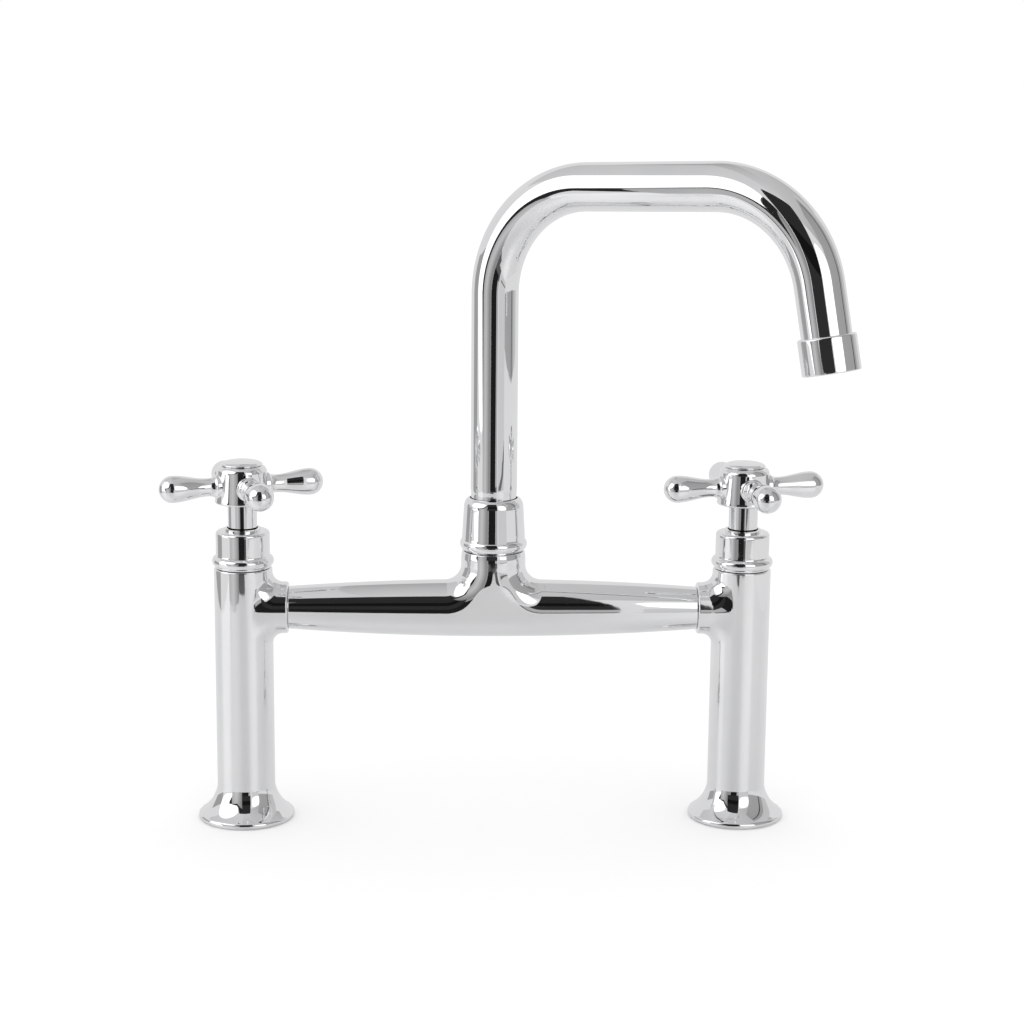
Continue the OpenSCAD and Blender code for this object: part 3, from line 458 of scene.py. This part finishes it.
# SPOUT NUT. A turned and chromed nut with a bead at its foot screws down over the neck, and lets the spout
# swivel under its shoulder on two acetal washers.
nut_outline = ([(10.65, 111.45), (12.0, 111.45)] + bow(10.7, 114.0, 2.7, -56, 42, 20)
               + [(12.68, 116.1), (12.62, 116.5)] + [(12.6 - 0.06 * i, 116.8 + i) for i in range(12)]
               + [(9.6 + 2.3 * math.cos(math.radians(5 * i)), 128.6 + 4.0 * math.sin(math.radians(5 * i)))
                  for i in range(19)] + [(9.5, 132.6), (9.5, 124.2), (10.65, 124.2)])
nut = turned("neck_nut", nut_outline, steps=192)
dress(nut, polished_chrome("nut_chrome"), "tap_body", "chromed_brass", "spout_nut")


# SPOUT. One length of drawn brass tube, bent twice on a mandrel and chromed. It stands on the tail that
# swivels in the neck, goes up, over towards the basin and down to the outlet.
tube_r, bore_r, tube_foot, bend_z = 9.25, 8.0, 123.6, 213.5
bend_a_r, bend_a, bend_b_r, bend_b, arm_l, leg_l = 43.0, math.radians(88), 41.5, math.radians(81), 55.5, 23.5
lean = math.radians(-35)
bm = bmesh.new()
for r in (tube_r, bore_r):
    bmesh.ops.create_circle(bm, cap_ends=False, radius=r, segments=112, matrix=Matrix.Translation((0, 0, tube_foot)))
foot_ring = bm.edges[:]


def pulled(edges, way, steps):
    """Draws the tube's two rings on in a straight line, and gives back the rings at its new end."""
    for _ in range(steps):
        grown = bmesh.ops.extrude_edge_only(bm, edges=edges)["geom"]
        bmesh.ops.translate(bm, vec=way / steps, verts=[v for v in grown if isinstance(v, bmesh.types.BMVert)])
        edges = [e for e in grown if isinstance(e, bmesh.types.BMEdge)
                 and all(v in grown for v in e.verts)]
    return edges


def bent(edges, centre, angle, steps):
    """Bends the tube on about a centre, and gives back the rings at its new end."""
    out = bmesh.ops.spin(bm, geom=edges, cent=centre, axis=(0, 1, 0), angle=angle, steps=steps)["geom_last"]
    return [e for e in out if isinstance(e, bmesh.types.BMEdge)]


end = pulled(foot_ring, Vector((0, 0, 9.4)), 1)
end = pulled(end, Vector((0, 0, 4)), 8)
end = pulled(end, Vector((0, 0, bend_z - 137)), 15)
end = bent(end, (bend_a_r, 0, bend_z), bend_a, 56)
corner = Vector((bend_a_r - bend_a_r * math.cos(bend_a), 0, bend_z + bend_a_r * math.sin(bend_a)))
along = Vector((math.sin(bend_a), 0, math.cos(bend_a)))
end = pulled(end, along * arm_l, 12)
corner += along * arm_l
hinge = corner + bend_b_r * Vector((math.cos(bend_a), 0, -math.sin(bend_a)))
end = bent(end, hinge, bend_b, 52)
heading = bend_a + bend_b
fall = Vector((math.sin(heading), 0, math.cos(heading)))
corner = hinge - bend_b_r * Vector((math.cos(heading), 0, -math.sin(heading)))
end = pulled(end, fall * leg_l, 6)
tip = corner + fall * leg_l
for ring in (foot_ring, end):
    bmesh.ops.bridge_loops(bm, edges=ring)
for v in bm.verts:
    if v.co.z < 138 and v.co.x < 20 and math.hypot(v.co.x, v.co.y) > 8.5:
        draw = max(0.0, min(1.0, (v.co.z - 133) / 4))
        snug = (tube_r - 0.2 * (1 - draw * draw * (3 - 2 * draw))) / tube_r
        v.co.x, v.co.y = v.co.x * snug, v.co.y * snug
spout = finished("bent_spout", bm, Matrix.Rotation(lean, 4, "Z"))
dress(spout, polished_chrome("spout_chrome", 0.86, 0.03, 0.008), "spout", "chromed_tube", "spout_tube")


# OUTLET. A chromed shell is pushed and crimped over the end of the tube. It holds a moulded insert that
# breaks up the stream, and a disc of woven steel gauze.
mouth = Matrix.Rotation(lean, 4, "Z") @ Matrix.Translation(tip) @ Matrix.Rotation(heading, 4, "Y")
shell_outline = ([(9.28, -5.4), (9.75, -5.4)] + bow(9.85, -4.5, 0.9, -85, 0, 10)
                 + [(10.75, -4 + 1.1 * i) for i in range(1, 11)] + bow(10.25, 7.5, 0.5, 0, 90, 8)
                 + bow(8.3, 7.6, 0.4, 90, 180, 6) + [(7.9, 7.1), (9.3, 7.1), (9.3, 0), (9.28, 0)])
shell = turned("outlet_shell", shell_outline, mouth, 160)
dress(shell, polished_chrome("outlet_chrome", 0.86, 0.035, 0.01), "spout", "chromed_brass", "aerator_shell")
insert_plastic = moulded("insert_plastic", (0.50, 0.51, 0.52), 0.1, 0.4, 500, 0.08)
coat(insert_plastic, "aerator_insert")
gauze_steel = moulded("gauze_steel", (0.5, 0.5, 0.51), 0.12, 0.28, 2500, 0.08, 1.0)
coat(gauze_steel, "aerator_mesh")


# CAMERA. It stands where the photograph was taken from, a little above the tap and just left of its middle.
yaw, pitch, roll = -0.0291656, 0.1943924, 0.0084684
ahead = Vector((-math.sin(yaw) * math.cos(pitch), math.cos(yaw) * math.cos(pitch), -math.sin(pitch)))
across = Vector((math.cos(yaw), math.sin(yaw), 0))
upward = across.cross(ahead)
x_axis = across * math.cos(roll) + upward * math.sin(roll)
y_axis = upward * math.cos(roll) - across * math.sin(roll)
camera = bpy.data.objects.new("photo_camera", bpy.data.cameras.new("photo_camera"))
camera.data.sensor_width, camera.data.lens = 36.0, 36.0 * 2200 / 1024
camera.data.clip_start = 0.01
camera.matrix_world = Matrix(((x_axis.x, y_axis.x, -ahead.x, -0.01780), (x_axis.y, y_axis.y, -ahead.y, -0.86132),
                              (x_axis.z, y_axis.z, -ahead.z, 0.29625), (0, 0, 0, 1)))
bpy.context.scene.collection.objects.link(camera)
bpy.context.scene.camera = camera


# STUDIO. A white table, and round it what the chrome shows: a leaning soft box at the left behind a grey
# reflector with a black frame, a soft box at the right, and a dark gap ahead where the camera stands.
def card(name, corners, levels):
    """A flat glowing panel that only reflections see, from its lower left corner round. levels gives how
    bright it is at its corners."""
    bm = bmesh.new()
    bmesh.ops.create_grid(bm, x_segments=1, y_segments=1, size=1)
    shade = bm.loops.layers.float_color.new("level")
    for face in bm.faces:
        for loop, corner, level in zip(face.loops, corners, levels):
            loop.vert.co = corner
            loop[shade] = (level, level, level, 1)
    mesh = bpy.data.meshes.new(name)
    bm.to_mesh(mesh)
    bm.free()
    obj = bpy.data.objects.new(name, mesh)
    bpy.context.scene.collection.objects.link(obj)
    mat = bpy.data.materials.new(name)
    mat.use_nodes = True
    nodes, links = mat.node_tree.nodes, mat.node_tree.links
    nodes.clear()
    out, lamp, level = (nodes.new(k) for k in ("ShaderNodeOutputMaterial", "ShaderNodeEmission",
                                               "ShaderNodeAttribute"))
    level.attribute_name = "level"
    links.new(level.outputs["Color"], lamp.inputs["Color"])
    links.new(lamp.outputs[0], out.inputs["Surface"])
    mesh.materials.append(mat)
    obj.visible_camera = obj.visible_diffuse = obj.visible_shadow = obj.visible_transmission = False
    return obj


def screen(name, x0, x1, y0, y1, z0, z1, levels):
    """An upright card between two points of the floor plan."""
    return card(name, [(x0, y0, z0), (x1, y1, z0), (x1, y1, z1), (x0, y0, z1)], levels)


def soft_box(name, middle, across, up, level):
    """A glowing panel with round corners."""
    bm = bmesh.new()
    bmesh.ops.create_circle(bm, cap_ends=True, radius=1, segments=64)
    shade = bm.loops.layers.float_color.new("level")
    for v in bm.verts:
        x, y = (math.copysign(abs(c) ** 0.6, c) for c in v.co[:2])
        v.co = Vector(middle) + Vector(across) * x + Vector(up) * y
    for face in bm.faces:
        for loop in face.loops:
            loop[shade] = (level, level, level, 1)
    box = card(name, [(0, 0, 0)] * 4, (0,) * 4)
    bm.to_mesh(box.data)
    bm.free()
    return box


screen("camera_gap", -0.28, 0.075, -0.80, -0.80, -0.072, 0.14, (0.014,) * 4)
for name, z0, z1, level in (("low", 0.14, 0.36, 0.03), ("mid", 0.36, 0.57, 0.008), ("high", 0.57, 1.7, 0.026)):
    screen(f"camera_gap_{name}", -0.52, 0.185, -0.80, -0.80, z0, z1, (level,) * 4)
screen("beside_gap", 0.075, 0.185, -0.80, -0.80, -0.02, 0.14, (0.46,) * 4)
screen("under_gap", -0.28, 0.185, -0.81, -0.81, -0.40, -0.02, (0.105,) * 4)
screen("behind_reflector", -0.70, -0.28, -0.79, -0.79, -0.40, 0.14, (0.30,) * 4)
screen("reflector_left", -0.41, -0.31, -0.25, -0.315, 0, 0.215, (0.50, 0.64, 0.56, 0.42))
screen("reflector_right", -0.31, -0.185, -0.315, -0.397, 0, 0.215, (0.64, 0.26, 0.22, 0.56))
card("reflector_peak", [(-0.29, -0.328, 0.215), (-0.185, -0.397, 0.215), (-0.185, -0.397, 0.42), (-0.20, -0.388, 0.42)],
     (0.48, 0.22, 0.22, 0.22))
card("frame_side", [(-0.41, -0.25, 0.07), (-0.41, -0.25, 0.22), (-0.475, -0.208, 0.22), (-0.475, -0.208, 0.17)],
     (0.02,) * 4)
card("frame_top", [(-0.41, -0.25, 0.21), (-0.29, -0.328, 0.215), (-0.30, -0.322, 0.265), (-0.41, -0.25, 0.225)],
     (0.02,) * 4)
card("frame_rise", [(-0.29, -0.328, 0.215), (-0.185, -0.397, 0.42), (-0.21, -0.38, 0.50), (-0.30, -0.322, 0.265)],
     (0.02,) * 4)
soft_box("left_box", (-0.66, -0.26, 0.42), (0.16, -0.36, 0), (0.16, 0.07, 0.40), 1.45)
soft_box("right_box", (0.445, -0.62, 0.39), (0.255, 0, 0), (0, 0, 0.23), 1.6)
screen("right_low", 0.185, 0.80, -0.64, -0.64, 0.006, 0.17, (0.66,) * 4)
screen("right_edge", 0.25, 0.80, -0.63, -0.63, -0.014, 0.006, (0.16,) * 4)
screen("right_skirt", 0.185, 0.80, -0.64, -0.64, -0.40, 0.006, (0.62,) * 4)
screen("right_wall", 0.70, 0.77, -0.64, 0.12, 0.08, 1.45, (0.42, 0.38, 0.33, 0.36))
screen("right_wall_end", 0.77, 0.80, 0.12, 0.42, 0.08, 1.45, (0.58, 0.60, 0.60, 0.58))
screen("right_line", 0.733, 0.738, -0.06, -0.01, 0.08, 1.3, (0.10,) * 4)
screen("right_foot", 0.70, 0.80, -0.64, 0.60, -0.40, 0.08, (0.80,) * 4)
screen("left_wall", -0.92, -0.80, 0.06, 0.52, -0.40, 0.30, (0.38,) * 4)
card("ceiling_far_left", [(-1.6, -1.3, 1.45), (-0.24, -1.3, 1.45), (-0.24, 1.2, 1.45), (-1.6, 1.2, 1.45)],
     (0.74, 0.74, 0.60, 0.62))
card("ceiling_left", [(-0.24, -1.3, 1.45), (0.12, -1.3, 1.45), (0.12, 1.2, 1.45), (-0.24, 1.2, 1.45)],
     (0.74, 0.74, 0.42, 0.42))
card("ceiling_right", [(0.12, -1.3, 1.45), (1.6, -1.3, 1.45), (1.6, 1.2, 1.45), (0.12, 1.2, 1.45)],
     (0.60, 0.42, 0.46, 0.60))

world = bpy.data.worlds.new("room")
bpy.context.scene.world = world
world.use_nodes = True
nodes, links = world.node_tree.nodes, world.node_tree.links
room = nodes["Background"]
room.inputs["Color"].default_value = (1, 1, 1, 1)
ray = nodes.new("ShaderNodeLightPath")
level = nodes.new("ShaderNodeMix")
level.inputs["A"].default_value, level.inputs["B"].default_value = 1.05, 0.8
seen = nodes.new("ShaderNodeMix")
seen.inputs["B"].default_value = 1.0
links.new(ray.outputs["Is Glossy Ray"], level.inputs["Factor"])
links.new(level.outputs["Result"], seen.inputs["A"])
links.new(ray.outputs["Is Camera Ray"], seen.inputs["Factor"])
links.new(seen.outputs["Result"], room.inputs["Strength"])

paper = bpy.data.materials.new("white_table")
paper.use_nodes = True
nodes, links = paper.node_tree.nodes, paper.node_tree.links
nodes.clear()
out, matt, lit, sheen, plain, glare, either = (nodes.new(k) for k in (
    "ShaderNodeOutputMaterial", "ShaderNodeBsdfDiffuse", "ShaderNodeEmission", "ShaderNodeBsdfGlossy",
    "ShaderNodeAddShader", "ShaderNodeMixShader", "ShaderNodeMixShader"))
ray = nodes.new("ShaderNodeLightPath")
matt.inputs["Color"].default_value = (0.84, 0.84, 0.84, 1)
lit.inputs["Strength"].default_value = 0.17
sheen.inputs["Roughness"].default_value = 0.42
glare.inputs["Fac"].default_value = 0.3
links.new(matt.outputs[0], plain.inputs[0])
links.new(lit.outputs[0], plain.inputs[1])
links.new(matt.outputs[0], glare.inputs[1])
links.new(sheen.outputs[0], glare.inputs[2])
links.new(ray.outputs["Is Camera Ray"], either.inputs["Fac"])
links.new(glare.outputs[0], either.inputs[1])
links.new(plain.outputs[0], either.inputs[2])
links.new(either.outputs[0], out.inputs["Surface"])
for name, x0, x1, y0, y1, z, everywhere in (
        ("table", -0.47, 0.47, -0.414, 0.62, 0, True), ("table_leaf", -0.02, 0.47, -0.475, -0.414, 0, True),
        ("floor", -7, 7, -7, 7, -0.0004, False)):
    top = card(name, [(x0, y0, z), (x1, y0, z), (x1, y1, z), (x0, y1, z)], (1,) * 4)
    top.data.materials[0] = paper
    top.visible_camera = top.visible_shadow = True
    top.visible_glossy = top.visible_diffuse = everywhere

bpy.context.scene.view_settings.view_transform = "Standard"
